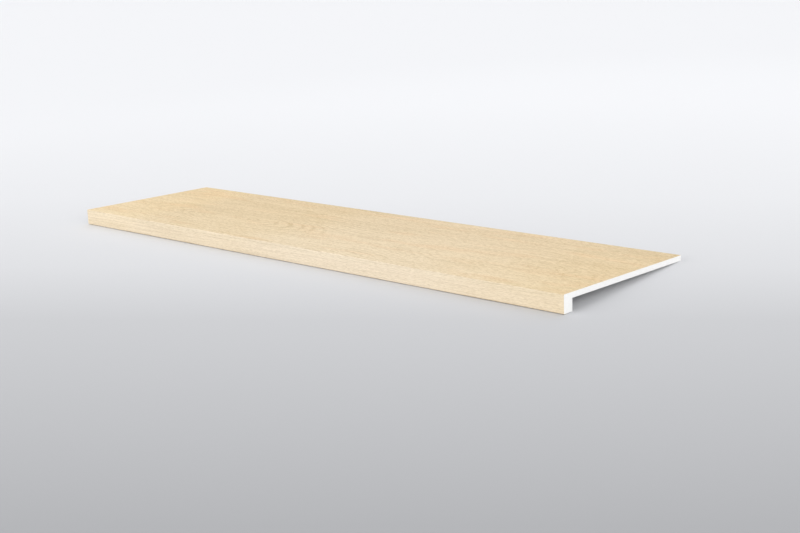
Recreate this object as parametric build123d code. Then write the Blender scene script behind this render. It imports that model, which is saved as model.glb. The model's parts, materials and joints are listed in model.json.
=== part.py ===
from build123d import *
import os
from math import atan2, degrees

# Vinyl stair tread: a white rigid-vinyl board with a downturned lip, faced with one printed vinyl sheet.
#
# The board is one straight profile, cut square at both ends. Its flat part covers the step, and its
# lip hangs over the step's front edge. The sheet runs from the back edge over the walking face, bends
# round the nosing, covers the front and is turned under the lip.
#
# The section is drawn with Y running from the nosing to the back edge and Z = 0 on the walking face.
# The finished tread lies as it does unheld on a level floor, so its walking face slopes a little down
# to the back. Its origin is on that floor under its middle, with +X along the nosing and +Y to the
# back. Sizes are in millimetres.

# Overall sizes, over the sheet
length = 1200.0
depth = 305.0
nosing_height = 29.5
board_thickness = 9.0
lip_thickness = 20.0

# The printed sheet, and how far it is turned under the lip, measured from the front
sheet_thickness = 0.5
sheet_turn_under = 8.0

# The board's eased corners: the two that the sheet bends round, and the one behind the lip
top_arris_radius = 1.0
bottom_arris_radius = 1.0
inner_corner_radius = 1.0

# Lines of the section that these sizes give
board_top = -sheet_thickness
board_front = sheet_thickness
underside = -board_thickness
lip_bottom = sheet_thickness - nosing_height


def core_board():
    """The board, L-shaped in section: the flat part and the lip in one piece."""
    with BuildPart() as board:
        with BuildSketch(Plane.YZ) as section:
            with BuildLine():
                Polyline(
                    (depth, board_top),
                    (board_front, board_top),
                    (board_front, lip_bottom),
                    (lip_thickness, lip_bottom),
                    (lip_thickness, underside),
                    (depth, underside),
                    close=True,
                )
            make_face()
            eased_corners = [
                ((board_front, board_top), top_arris_radius),
                ((board_front, lip_bottom), bottom_arris_radius),
                ((lip_thickness, underside), inner_corner_radius),
            ]
            for corner, radius in eased_corners:
                fillet(section.vertices().sort_by_distance(corner)[0], radius)
        extrude(amount=length / 2, both=True)
    return board.part


def vinyl_sheet():
    """The facing: one sheet of even thickness, bent round both eased corners of the nosing."""
    with BuildPart() as facing:
        with BuildSketch(Plane.YZ):
            with BuildLine():
                glued_side = FilletPolyline(
                    (depth, board_top),
                    (board_front, board_top),
                    (board_front, lip_bottom),
                    (sheet_turn_under, lip_bottom),
                    radius=(top_arris_radius, bottom_arris_radius),
                )
                offset(glued_side, amount=sheet_thickness, side=Side.RIGHT)
            make_face()
        extrude(amount=length / 2, both=True)
    return facing.part


def resting_place(pieces):
    """Turns the tread back onto the floor and puts the origin under its middle.

    It lies on the lower edge of its back and on the lowest part of the lip, which is the lip's heel
    unless the sheet turned under it stands lower.
    """
    lip_feet = [(lip_thickness, lip_bottom), (sheet_turn_under, -nosing_height)]
    slope = max(atan2(underside - foot_z, depth - foot_y) for foot_y, foot_z in lip_feet)
    laid = Rot(X=-degrees(slope))
    box = Compound([laid * piece for piece in pieces]).bounding_box()
    return Pos(-box.center().X, -box.center().Y, -box.min.Z) * laid


tread = {"core_board": core_board(), "vinyl_sheet": vinyl_sheet()}
place = resting_place(tread.values())

os.makedirs("parts", exist_ok=True)
for name, piece in tread.items():
    export_step(place * piece, f"parts/{name}.step")
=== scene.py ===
import json
from math import atan2, cos, dist, pi, radians, sin

import bmesh
import bpy
from mathutils import Matrix, Vector


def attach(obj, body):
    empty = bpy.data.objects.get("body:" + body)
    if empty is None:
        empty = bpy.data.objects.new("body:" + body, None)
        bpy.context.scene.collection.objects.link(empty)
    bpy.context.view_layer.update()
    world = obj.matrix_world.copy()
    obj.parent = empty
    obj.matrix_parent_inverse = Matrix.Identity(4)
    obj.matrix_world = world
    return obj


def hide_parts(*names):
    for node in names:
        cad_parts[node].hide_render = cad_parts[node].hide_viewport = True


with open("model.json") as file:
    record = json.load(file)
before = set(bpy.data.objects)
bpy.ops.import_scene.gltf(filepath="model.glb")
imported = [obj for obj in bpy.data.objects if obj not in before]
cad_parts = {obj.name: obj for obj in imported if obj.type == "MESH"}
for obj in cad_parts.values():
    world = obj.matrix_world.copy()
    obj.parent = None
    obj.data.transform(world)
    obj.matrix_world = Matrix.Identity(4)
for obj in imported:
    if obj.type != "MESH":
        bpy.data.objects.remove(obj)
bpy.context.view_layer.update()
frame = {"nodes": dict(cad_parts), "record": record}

print("frame loaded:", sorted(frame["nodes"]))


# The frame holds the tread as it lies on the floor, leaning back a little. It is turned level to read
# its section and to model on it, and each finished piece is laid back.

mounts = {mount["name"]: mount for mount in frame["record"]["mounts"]}
seatDown = mounts["tread_seat"]["axis"]
layBack = Matrix.Rotation(atan2(seatDown[1], -seatDown[2]), 4, "X")
setLevel = layBack.inverted()


def levelCorners(nodeName):
    return [setLevel @ v.co for v in frame["nodes"][nodeName].data.vertices]


def lowAndHigh(corners):
    low = Vector(min(c[i] for c in corners) for i in range(3))
    high = Vector(max(c[i] for c in corners) for i in range(3))
    return low, high


boardLow, boardHigh = lowAndHigh(levelCorners("core_board"))
sheetLow, sheetHigh = lowAndHigh(levelCorners("vinyl_sheet"))
underside = (setLevel @ Vector(mounts["tread_seat"]["pos_m"])).z
lipBack = (setLevel @ Vector(mounts["lip_back"]["pos_m"])).y
hair = 0.00002                                  # closer than this, two places are the same


# Shared modelling steps

def selectNothing():
    bpy.ops.object.select_all(action="DESELECT")


def openForEditing(piece, elements):
    selectNothing()
    piece.select_set(True)
    bpy.context.view_layer.objects.active = piece
    bpy.ops.object.mode_set(mode="EDIT")
    bpy.ops.mesh.select_mode(type=elements)
    bpy.ops.mesh.select_all(action="DESELECT")
    return bmesh.from_edit_mesh(piece.data)


def closeEditing():
    bpy.ops.object.mode_set(mode="OBJECT")


def pickEdges(piece, wanted):
    mesh = openForEditing(piece, "EDGE")
    for edge in mesh.edges:
        if wanted(*(v.co for v in edge.verts)):
            edge.select_set(True)
    bmesh.update_edit_mesh(piece.data)


def pickFaces(piece, wanted):
    mesh = openForEditing(piece, "FACE")
    for face in mesh.faces:
        if wanted(face.calc_center_median(), face.normal):
            face.select_set(True)
    bmesh.update_edit_mesh(piece.data)


def edgeAlong(y, z):                            # picks the long edge through this point of the section
    def wanted(start, end):
        return all(abs(c.y - y) < hair and abs(c.z - z) < hair for c in (start, end))
    return wanted


def pull(y=0.0, z=0.0):
    bpy.ops.mesh.extrude_region_move(TRANSFORM_OT_translate={"value": (0.0, y, z)})


def roundOff(radius, segments):
    bpy.ops.mesh.bevel(offset=radius, offset_type="OFFSET", segments=segments, affect="EDGES")


def applyModifier(piece, kind, **settings):
    modifier = piece.modifiers.new(kind.title(), kind)
    for name, value in settings.items():
        setattr(modifier, name, value)
    selectNothing()
    piece.select_set(True)
    bpy.context.view_layer.objects.active = piece
    bpy.ops.object.modifier_apply(modifier=modifier.name)


def smoothFlats(piece):                         # round bends shade smooth, and the wide flats stay flat
    selectNothing()
    piece.select_set(True)
    bpy.context.view_layer.objects.active = piece
    bpy.ops.object.shade_smooth_by_angle(angle=radians(35))
    applyModifier(piece, "WEIGHTED_NORMAL", mode="FACE_AREA", weight=100, keep_sharp=True)


# The board: flat part and lip in one piece

board = {"arrisRadius": 0.001, "cornerRadius": 0.001, "bendSegments": 8}


def makeCoreBoard():
    selectNothing()
    flatLow = Vector((boardLow.x, boardLow.y, underside))
    size = boardHigh - flatLow
    bpy.ops.mesh.primitive_cube_add(size=1, location=(boardHigh + flatLow) / 2, scale=size)
    piece = bpy.context.object
    piece.name = "coreBoard"
    bpy.ops.object.transform_apply(location=True, rotation=True, scale=True)

    openForEditing(piece, "FACE")
    bpy.ops.mesh.select_all(action="SELECT")
    bpy.ops.mesh.bisect(plane_co=(0, lipBack, 0), plane_no=(0, 1, 0))
    closeEditing()

    pickFaces(piece, lambda centre, normal: normal.z < -0.9 and centre.y < lipBack)
    pull(z=boardLow.z - underside)              # the lip
    closeEditing()

    for y, z, radius in (
        (boardLow.y, boardHigh.z, board["arrisRadius"]),
        (boardLow.y, boardLow.z, board["arrisRadius"]),
        (lipBack, underside, board["cornerRadius"]),
    ):
        pickEdges(piece, edgeAlong(y, z))
        roundOff(radius, board["bendSegments"])
        closeEditing()

    for material in (pressedFoam(), sawnFoam()):
        piece.data.materials.append(material)
    for face in piece.data.polygons:
        face.material_index = 1 if abs(face.normal.x) > 0.9 else 0

    smoothFlats(piece)
    piece.data.transform(layBack)
    print("core board made")
    return piece


# The printed sheet: one strip bent round the nosing

sheet = {"bendSegments": 10, "printMap": "printMap"}


def turnedUnderEnd():                           # how far back the sheet reaches below the lip
    return max(c.y for c in levelCorners("vinyl_sheet") if c.z < boardLow.z + hair and c.y < lipBack)


def makeVinylSheet():
    selectNothing()
    depth = sheetHigh.y - boardLow.y
    middle = Vector((0.0, boardLow.y + depth / 2, boardHigh.z))
    bpy.ops.mesh.primitive_plane_add(size=1, location=middle)
    piece = bpy.context.object
    piece.name = "vinylSheet"
    piece.scale = (sheetHigh.x - sheetLow.x, depth, 1)
    bpy.ops.object.transform_apply(location=True, rotation=True, scale=True)

    pickEdges(piece, edgeAlong(boardLow.y, boardHigh.z))
    pull(z=boardLow.z - boardHigh.z)            # down the front
    pull(y=turnedUnderEnd() - boardLow.y)       # and under the lip
    closeEditing()

    for z in (boardHigh.z, boardLow.z):
        pickEdges(piece, edgeAlong(boardLow.y, z))
        roundOff(board["arrisRadius"], sheet["bendSegments"])
        closeEditing()

    mapPrint(piece)
    for material in (oakPrint(), sheetBacking()):
        piece.data.materials.append(material)
    thickness = boardLow.y - sheetLow.y
    applyModifier(piece, "SOLIDIFY", thickness=thickness, offset=1, use_even_offset=True,
                  material_offset=1, material_offset_rim=1)     # the backing on edges and glued side
    smoothFlats(piece)
    piece.data.transform(layBack)
    print("vinyl sheet made")
    return piece


def inSection(co):
    return round(co.y, 6), round(co.z, 6)


def mapPrint(piece):                            # lays the print out flat, in metres from the nosing
    mesh = piece.data
    path = sortSection({inSection(v.co) for v in mesh.vertices if v.co.x < 0})
    walked, place = 0.0, {}
    for before, here in zip([path[0]] + path, path):
        walked += dist(before, here)
        place[here] = walked
    nosing = place[min(path, key=lambda p: abs(p[0] + p[1] - boardLow.y - boardHigh.z))]
    layer = mesh.uv_layers.active or mesh.uv_layers.new()
    layer.name = sheet["printMap"]
    for loop in mesh.loops:
        co = mesh.vertices[loop.vertex_index].co
        layer.data[loop.index].uv = (co.x, place[inSection(co)] - nosing)


def sortSection(points):                        # from below the lip, up the front, to the back edge
    path = [min(points, key=lambda p: (p[1], -p[0]))]
    rest = sorted(points - set(path))
    while rest:
        path.append(min(rest, key=lambda p: dist(p, path[-1])))
        rest.remove(path[-1])
    return path


# Shader maths as plain sums

class Value:                                    # a number that varies over a surface
    def __init__(self, paint, socket):
        self.paint, self.socket = paint, socket

    def __add__(self, other):
        return self.paint.maths("ADD", self, other)

    def __sub__(self, other):
        return self.paint.maths("SUBTRACT", self, other)

    def __rsub__(self, other):
        return self.paint.maths("SUBTRACT", other, self)

    def __mul__(self, other):
        return self.paint.maths("MULTIPLY", self, other)

    def __truediv__(self, other):
        return self.paint.maths("DIVIDE", self, other)

    def __rtruediv__(self, other):
        return self.paint.maths("DIVIDE", other, self)

    __radd__ = __add__
    __rmul__ = __mul__


class Paint:                                    # the nodes of one material, or of the world
    def __init__(self, owner):
        owner.use_nodes = True
        self.owner, self.tree = owner, owner.node_tree
        self.tree.nodes.clear()

    def node(self, kind, settings=None, values=(), output=0):
        made = self.tree.nodes.new(kind)
        for name, value in (settings or {}).items():
            if name == "stops":
                self.setStops(made.color_ramp.elements, value)
            else:
                setattr(made, name, value)
        pairs = values.items() if isinstance(values, dict) else enumerate(values)
        for name, value in pairs:
            if isinstance(value, Value):
                self.tree.links.new(value.socket, made.inputs[name])
            else:
                made.inputs[name].default_value = value
        return Value(self, made.outputs[output]) if made.outputs else None

    def setStops(self, elements, stops):
        while len(elements) < len(stops):
            elements.new(1.0)
        for element, (position, colour) in zip(elements, stops):
            element.position, element.color = position, colour

    def maths(self, operation, *terms):
        return self.node("ShaderNodeMath", {"operation": operation}, terms)

    def vector(self, x=0.0, y=0.0, z=0.0):
        return self.node("ShaderNodeCombineXYZ", {}, (x, y, z))

    def objectPlace(self, size=(1.0, 1.0, 1.0), turn=(0.0, 0.0, 0.0)):
        place = self.node("ShaderNodeTexCoord", {}, (), output="Object")
        return self.node("ShaderNodeMapping", {}, {"Vector": place, "Rotation": turn,
                                                   "Scale": tuple(1 / length for length in size)})

    def noise(self, place, detail=2.0, roughness=0.5):
        return self.node("ShaderNodeTexNoise", {}, {"Vector": place, "Scale": 1.0, "Detail": detail,
                                                    "Roughness": roughness})

    def cells(self, place, space="3D"):         # how far each spot is from the middle of its cell
        return self.node("ShaderNodeTexVoronoi", {"voronoi_dimensions": space},
                         {"Vector": place, "Scale": 1.0})

    def step(self, value, low, high):           # 0 below low, 1 above high, and a soft rise between
        return self.node("ShaderNodeMapRange", {"interpolation_type": "SMOOTHSTEP"}, (value, low, high))

    def blend(self, share, first, second, how="MIX"):
        return self.node("ShaderNodeMix", {"data_type": "RGBA", "blend_type": how},
                         {0: share, 6: first, 7: second}, output=2)

    def bump(self, height, depth, strength):
        return self.node("ShaderNodeBump", {}, {"Height": height, "Distance": depth, "Strength": strength})

    def surface(self, **values):
        shader = self.node("ShaderNodeBsdfPrincipled", {}, {name.replace("_", " "): value
                                                            for name, value in values.items()})
        self.node("ShaderNodeOutputMaterial", {}, {"Surface": shader})
        return self.owner

    def seenDirectly(self):                     # 1 for the camera and in reflections, 0 for bounced light
        byEye, inGloss, throughGlass = (
            self.node("ShaderNodeLightPath", {}, (), output=name)
            for name in ("Is Camera Ray", "Is Glossy Ray", "Is Transmission Ray"))
        return self.maths("MINIMUM", byEye + inGloss + throughGlass, 1.0)


def newPaint(name):
    return Paint(bpy.data.materials.new(name))


def tone(red, green, blue):                     # a colour as a screen shows it, each part 0 to 255
    def straight(part):
        share = part / 255
        return share / 12.92 if share < 0.04045 else ((share + 0.055) / 1.055) ** 2.4
    return (*(straight(part) for part in (red, green, blue)), 1.0)


# The print: pale flat-sawn oak, its grain running along the nosing

oak = {
    "middle": tone(243, 224, 192.5),            # the palest wood between the lines
    "back": tone(235, 214, 180),
    "warm": tone(240, 213, 176),
    # painted sheen: the front strip is painted paler and whiter than the top
    "front": tone(240, 225, 201),
    "leftTint": (0.98, 0.962, 0.915, 1.0),      # what the colour is multiplied by on the left
    "leftFrom": (-0.15, 0.02),                  # full to the left of the first place, none past the second
    "leftEndTint": (1.052, 1.046, 1.02, 1.0),
    "leftEndFrom": (-0.48, -0.4),
    "rightTint": (0.958, 0.926, 0.84, 1.0),
    "rightFrom": (0.25, 0.65),                  # none to the left of the first, full past the second
    "cornerTint": (0.95, 0.95, 0.94, 1.0),      # the back corner on the right
    "cornerFrom": (0.4, 0.52),
    "cornerBehind": (0.22, 0.29),
    "line": (0.28, 0.27, 0.255, 1.0),           # what a full dark line takes away from it
    "frontFineness": 2.6,                       # the front strip's grain is this much closer
    "frontShare": (0.7, 0.72),                  # how much of the coarse and fine grain shows there
    "frontTintShare": 0.6,
    "heartLine": 0.105,                         # how far behind the nosing the arched figure lies
    "archAt": -0.28,                            # where the arches close, and how far to the next set
    "archSpacing": 0.66,
    "archHeight": 0.072,
    "archGrowth": 0.03,                         # added to the height for each metre to the right
    "figureAt": -0.12,                          # the figure is plainest here and fades to both sides
    "taper": 0.022,                             # how fast the rings close in to the right
    "ringGap": 0.0066,                          # between two growth rings
    "broad": (0.2, 0.012),                      # length and width of each kind of streak
    "streak": (0.12, 0.0036),
    "frontLine": (0.15, 0.007),                 # these lie on the front strip alone
    "fleck": (0.007, 0.0015),
    "hairline": (0.012, 0.0005),
    "pore": (0.012, 0.0007),
    "poreDepth": 0.0001,
    "roughness": 0.55,
}


def oakPrint():
    paint = newPaint("oakPrint")
    place = paint.node("ShaderNodeUVMap", {"uv_map": sheet["printMap"]})
    along = paint.node("ShaderNodeSeparateXYZ", {}, (place,), output=0)
    unrolled = paint.node("ShaderNodeSeparateXYZ", {}, (place,), output=1)
    onTop = paint.maths("MAXIMUM", unrolled, 0.0)
    onFront = 1 - paint.step(unrolled, -0.0008, 0.0012)
    across = onTop + paint.maths("MINIMUM", unrolled, 0.0) * oak["frontFineness"]

    def fibres(length, width, seed, detail=2.0, roughness=0.5):     # noise drawn out along the grain
        spot = paint.vector(along / length, across / width, seed)
        return paint.noise(spot, detail, roughness) - 0.5

    def ticks(length, width, seed):             # short dark pores, one to each length and width
        cells = paint.cells(paint.vector(along / length + seed, across / width), "2D")
        return 1 - paint.step(cells, 0.1, 0.3)

    # growth rings cut by the face: arches over the log's heart, straight lines beside it
    wander = fibres(0.6, 0.4, 3.1) * 0.07 + fibres(0.22, 0.08, 6.3) * 0.03
    wander = wander + fibres(0.1, 0.03, 7.7, detail=3) * 0.01
    aside = across - oak["heartLine"] + wander
    wave = paint.maths("SINE", (along - oak["archAt"]) * (pi / oak["archSpacing"]))
    height = along * oak["archGrowth"] + oak["archHeight"]
    below = wave * height + fibres(0.25, 0.2, 12.4, detail=1) * 0.04
    radius = paint.maths("SQRT", aside * aside + below * below) - along * oak["taper"]
    rings = radius / oak["ringGap"] + fibres(0.025, 0.004, 17.3) * 0.5
    phase = paint.maths("FRACT", rings)
    strength = paint.node("ShaderNodeTexWhiteNoise", {"noise_dimensions": "1D"},
                          {"W": paint.maths("FLOOR", rings - 0.5)}) * 0.75 + 0.25
    away = paint.maths("ABSOLUTE", along - oak["figureAt"])
    shown = paint.step(fibres(0.2, 0.1, 33.3) * 0.7 - away * 0.5, -0.22, 0.03) * 0.65 + 0.35
    poreBand = (paint.step(phase, 0.8, 1.0) + 1 - paint.step(phase, 0.0, 0.35)) * strength * shown

    # fibres and pores, from broad streaks to hairlines
    broad = fibres(*oak["broad"], 1.3)
    streaks = fibres(*oak["streak"], 5.9, detail=3, roughness=0.65)
    frontLines = fibres(*oak["frontLine"], 11.9, roughness=0.6) * onFront * (0.75 - along * 0.8)
    flecks = fibres(*oak["fleck"], 8.6, roughness=0.6)
    hairlines = fibres(*oak["hairline"], 9.2, roughness=0.6)
    pores = ticks(*oak["pore"], 4.4) * (poreBand * 0.8 + 0.2)
    coarse = poreBand * 0.5 - broad * 0.6 - streaks * 0.9 - frontLines * 1.6
    fine = pores * 2.8 - flecks * 2.3 - hairlines * 1.2
    coarseShare, fineShare = (1 - onFront * (1 - share) for share in oak["frontShare"])
    dark = coarse * coarseShare + fine * fineShare + 0.24

    # slow changes of tone: paler to the nosing, warmer to both ends, and down the front strip a painted
    # sheen that makes it paler and whiter
    drift = fibres(0.3, 0.12, 21.5)
    ground = paint.blend(paint.step(onTop + drift * 0.25, 0.02, 0.3), oak["middle"], oak["back"])
    warmth = paint.step(fibres(0.15, 0.03, 41.7, detail=3), 0.0, 0.2) * 0.6
    ground = paint.blend(warmth, ground, oak["warm"])
    # painted sheen: the front strip is painted paler and whiter
    ground = paint.blend(onFront, ground, oak["front"])
    tints = {
        "leftTint": 1 - paint.step(along + drift * 0.3, *oak["leftFrom"]),
        "leftEndTint": 1 - paint.step(along, *oak["leftEndFrom"]),
        "rightTint": paint.step(along + drift * 0.3, *oak["rightFrom"]),
        "cornerTint": paint.step(onTop, *oak["cornerBehind"]) * paint.step(along, *oak["cornerFrom"]),
    }
    tintShare = 1 - onFront * (1 - oak["frontTintShare"])
    for name, part in tints.items():
        ground = paint.blend(part * tintShare, ground, oak[name], how="MULTIPLY")
    colour = paint.blend(dark, ground, oak["line"], how="SUBTRACT")

    relief = hairlines * 0.5 - pores - poreBand * 0.2
    rough = hairlines * 0.15 + pores * 0.12 + oak["roughness"]
    bump = paint.bump(relief, oak["poreDepth"], 0.6)
    return paint.surface(Base_Color=colour, Roughness=rough, Normal=bump, Specular_IOR_Level=0.35)


# The sheet's own cut edge and glued side

backing = {"clean": tone(244, 240, 230), "dull": tone(232, 226, 212), "speckle": 0.0004}


def sheetBacking():
    paint = newPaint("sheetBacking")
    speckle = paint.noise(paint.objectPlace(size=(backing["speckle"],) * 3))
    colour = paint.blend(paint.step(speckle, 0.3, 0.7), backing["clean"], backing["dull"])
    rough = speckle * 0.2 + 0.5
    return paint.surface(Base_Color=colour, Roughness=rough)


# The white board: foamed vinyl, sawn at the ends and pressed smooth along its length

foam = {
    "white": tone(246, 246, 245),
    "shade": tone(226, 226, 223),
    "cell": 0.0004,                             # width of the fine closed cells that the saw opens
    "patch": 0.0055,
    "sawLine": (1.0, 0.0007, 0.017),            # marks of the saw: through the cut, width and length
    "sawSlant": (0.5, 0.0, 0.0),
    "dragLine": (0.33, 0.0024, 0.0024),         # faint lines left along the board by its die
    "dimple": 0.0011,
    "cloud": 0.07,
    "relief": 0.00005,
}


def sawnFoam():
    paint = newPaint("sawnFoam")
    cells = paint.cells(paint.objectPlace(size=(foam["cell"],) * 3))
    patches = paint.noise(paint.objectPlace(size=(foam["patch"],) * 3))
    sawLines = paint.noise(paint.objectPlace(size=foam["sawLine"], turn=foam["sawSlant"]), detail=1)
    opened = (1 - paint.step(cells, 0.15, 0.5)) * paint.step(patches, 0.4, 0.6)
    colour = paint.blend(opened * 0.5 + sawLines * 0.2, foam["white"], foam["shade"])
    bump = paint.bump(sawLines * 0.5 - opened, foam["relief"], 0.8)
    rough = opened * 0.1 + 0.68
    return paint.surface(Base_Color=colour, Roughness=rough, Normal=bump, Specular_IOR_Level=0.3)


def pressedFoam():
    paint = newPaint("pressedFoam")
    dragLines = paint.noise(paint.objectPlace(size=foam["dragLine"]), detail=3, roughness=0.6)
    dimples = paint.noise(paint.objectPlace(size=(foam["dimple"],) * 3))
    clouds = paint.step(paint.noise(paint.objectPlace(size=(foam["cloud"],) * 3)), 0.4, 0.7)
    colour = paint.blend(dragLines * 0.35 + clouds * 0.3, foam["white"], foam["shade"])
    bump = paint.bump(dragLines * 0.5 + dimples * 0.5, foam["relief"], 0.35)
    rough = dimples * 0.12 + 0.46
    return paint.surface(Base_Color=colour, Roughness=rough, Normal=bump, Specular_IOR_Level=0.4)


# Studio: a pale floor that runs on as backdrop, soft lamps and the photo's camera

camera = {
    "eye": Vector((1.7379, -1.6120, 0.6181)),
    "azimuth": radians(45.0),                   # 0 looks along +Y
    "elevation": radians(15.93),
    "roll": radians(5.2),
    "lens": 61.0,
    "sensor": 36.0,
    "shape": 800 / 533,
    "reach": 200.0,
}
floor = {
    "halfWidth": 40.0,
    "plain": (0.86, 0.86, 0.87, 1.0),           # what the tread sees of it
    "paintedShades": [                                 # painted shade: how far down the photo, and how pale there
        (0.05, 247), (0.2, 242), (0.37, 233), (0.5, 221), (0.6, 204), (0.75, 194), (1.0, 177),
    ],
    "nearest": 0.3,                             # nearer ahead of the camera than this, the tone stays
    "far": 240,
    "fade": (1.25, 2.4),                        # from this far out the floor is plain and pale all round
}


def cameraTurn():
    turn, down = camera["azimuth"], camera["elevation"]
    ahead = Vector((-sin(turn) * cos(down), cos(turn) * cos(down), -sin(down)))
    straight = ahead.to_track_quat("-Z", "Y").to_matrix().to_4x4()
    return straight @ Matrix.Rotation(-camera["roll"], 4, "Z")


def makeCamera():
    cam = bpy.data.objects.new("photoCamera", bpy.data.cameras.new("photoCamera"))
    bpy.context.scene.collection.objects.link(cam)
    cam.location = camera["eye"]
    cam.rotation_euler = cameraTurn().to_euler()
    cam.data.lens, cam.data.sensor_width = camera["lens"], camera["sensor"]
    cam.data.clip_end = camera["reach"]
    bpy.context.scene.camera = cam


def makeFloor():
    selectNothing()
    bpy.ops.mesh.primitive_plane_add(size=2 * floor["halfWidth"])
    piece = bpy.context.object
    piece.name = "studioFloor"
    piece.data.materials.append(floorPaint())


def coolGrey(level):
    return tone(level, level + 1, level + 4)


def floorPaint():                               # painted shade: darker to the foot of the photo, pale elsewhere
    paint = newPaint("studioFloor")
    place = paint.node("ShaderNodeTexCoord", {}, (), output="Object")
    fromEye = paint.node("ShaderNodeVectorMath", {"operation": "SUBTRACT"}, (place, camera["eye"]))
    axes = cameraTurn().to_3x3().transposed()
    below, ahead = (
        paint.node("ShaderNodeVectorMath", {"operation": "DOT_PRODUCT"}, (fromEye, -axis), output="Value")
        for axis in (axes[1], axes[2]))
    spread = camera["lens"] / camera["sensor"] * camera["shape"]
    downPhoto = below / paint.maths("MAXIMUM", ahead, floor["nearest"]) * spread + 0.5
    stops = [(share, coolGrey(level)) for share, level in floor["paintedShades"]]
    # painted shade: the ramp darkens the floor as the camera sees it, towards the foot of the picture
    seen = paint.node("ShaderNodeValToRGB", {"stops": stops}, (downPhoto,))
    outward = paint.node("ShaderNodeVectorMath", {"operation": "LENGTH"}, (place,), output="Value")
    seen = paint.blend(paint.step(outward, *floor["fade"]), seen, coolGrey(floor["far"]))
    colour = paint.blend(paint.seenDirectly(), floor["plain"], seen)
    return paint.surface(Base_Color=colour, Roughness=1.0, Specular_IOR_Level=0.0)


world = {"light": 0.45, "seen": 0.93}


def makeWorld():
    paint = Paint(bpy.data.worlds.new("studioAir"))
    white = (1.0, 1.0, 1.0, 1.0)
    light = paint.node("ShaderNodeBackground", {}, (white, world["light"]))
    seen = paint.node("ShaderNodeBackground", {}, (white, world["seen"]))
    shown = paint.node("ShaderNodeMixShader", {}, (paint.seenDirectly(), light, seen))
    paint.node("ShaderNodeOutputWorld", {}, (shown,))
    bpy.context.scene.world = paint.owner


lamps = {                                       # where each shines from, how strongly and how softly
    "frontLamp": {"from": (-0.5, -0.7, 0.35), "strength": 1.6, "softness": radians(60)},
    "endLamp": {"from": (0.85, -0.15, 0.4), "strength": 1.4, "softness": radians(60)},
    "backLamp": {"from": (-0.1, 0.5, 0.8), "strength": 0.8, "softness": radians(60)},
}


def makeLamps():
    for name, lamp in lamps.items():
        data = bpy.data.lights.new(name, "SUN")
        data.energy, data.angle = lamp["strength"], lamp["softness"]
        hung = bpy.data.objects.new(name, data)
        bpy.context.scene.collection.objects.link(hung)
        hung.location = lamp["from"]
        hung.rotation_euler = (-Vector(lamp["from"])).to_track_quat("-Z", "Y").to_euler()


coreBoard = makeCoreBoard()
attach(coreBoard, "root")
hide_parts("core_board")

vinylSheet = makeVinylSheet()
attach(vinylSheet, "root")
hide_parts("vinyl_sheet")

makeFloor()
makeWorld()
makeLamps()
makeCamera()
bpy.context.scene.view_settings.view_transform = "Standard"
print("studio made")
